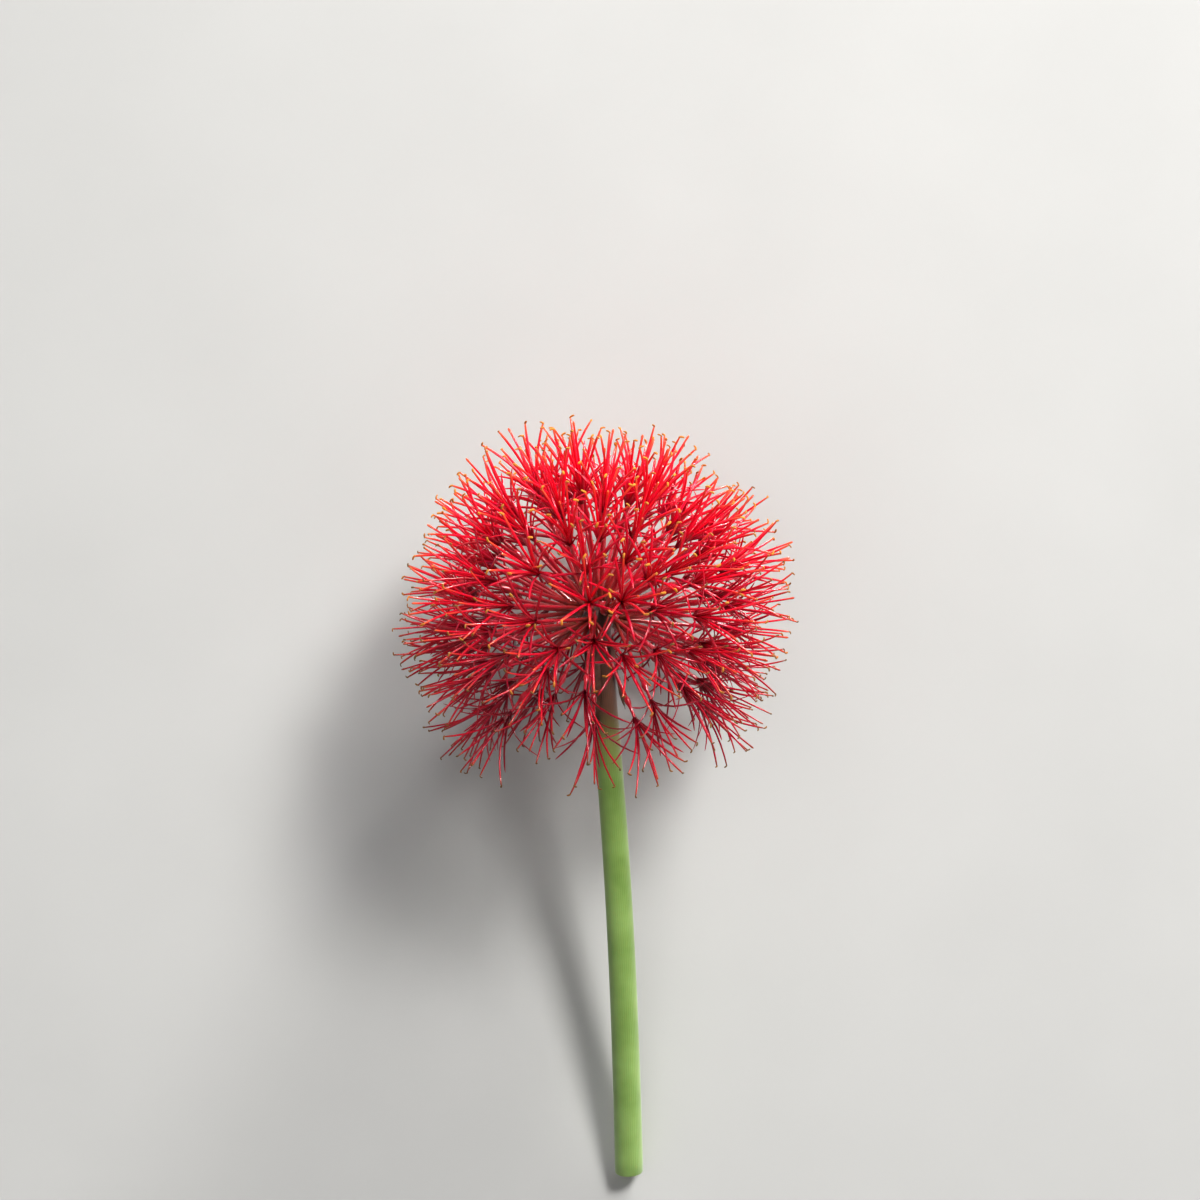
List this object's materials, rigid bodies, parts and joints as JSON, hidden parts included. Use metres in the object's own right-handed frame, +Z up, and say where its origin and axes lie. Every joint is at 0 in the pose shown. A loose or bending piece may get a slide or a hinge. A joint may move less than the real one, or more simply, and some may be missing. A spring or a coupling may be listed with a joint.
{
  "type": "cut blood lily flower head on its stem",
  "caption": "Cut blood lily lying down: a ball of slender scarlet starry flowers with golden anthers, on a smooth green leafless stem.",
  "frame": {"origin": "on the surface that the flower lies on, under the middle of its outline as seen from above", "axes": "+Z up from the surface, +Y from the cut end of the stem towards the flower head, +X to the right as seen from above with the head away from the viewer"},
  "size_m": [0.1596, 0.305, 0.1525],
  "materials": {
    "scape": "satin",
    "spathe": "matte",
    "flower": "satin"
  },
  "bodies": {
    "root": {"scape": "scape", "spathe_bract_1": "spathe", "spathe_bract_2": "spathe", "spathe_bract_3": "spathe", "spathe_bract_4": "spathe", "cyme_01": "flower", "cyme_02": "flower", "cyme_03": "flower", "cyme_04": "flower", "cyme_05": "flower", "cyme_06": "flower", "cyme_07": "flower", "cyme_08": "flower", "cyme_09": "flower", "cyme_10": "flower", "cyme_11": "flower"}
  },
  "joints": []
}
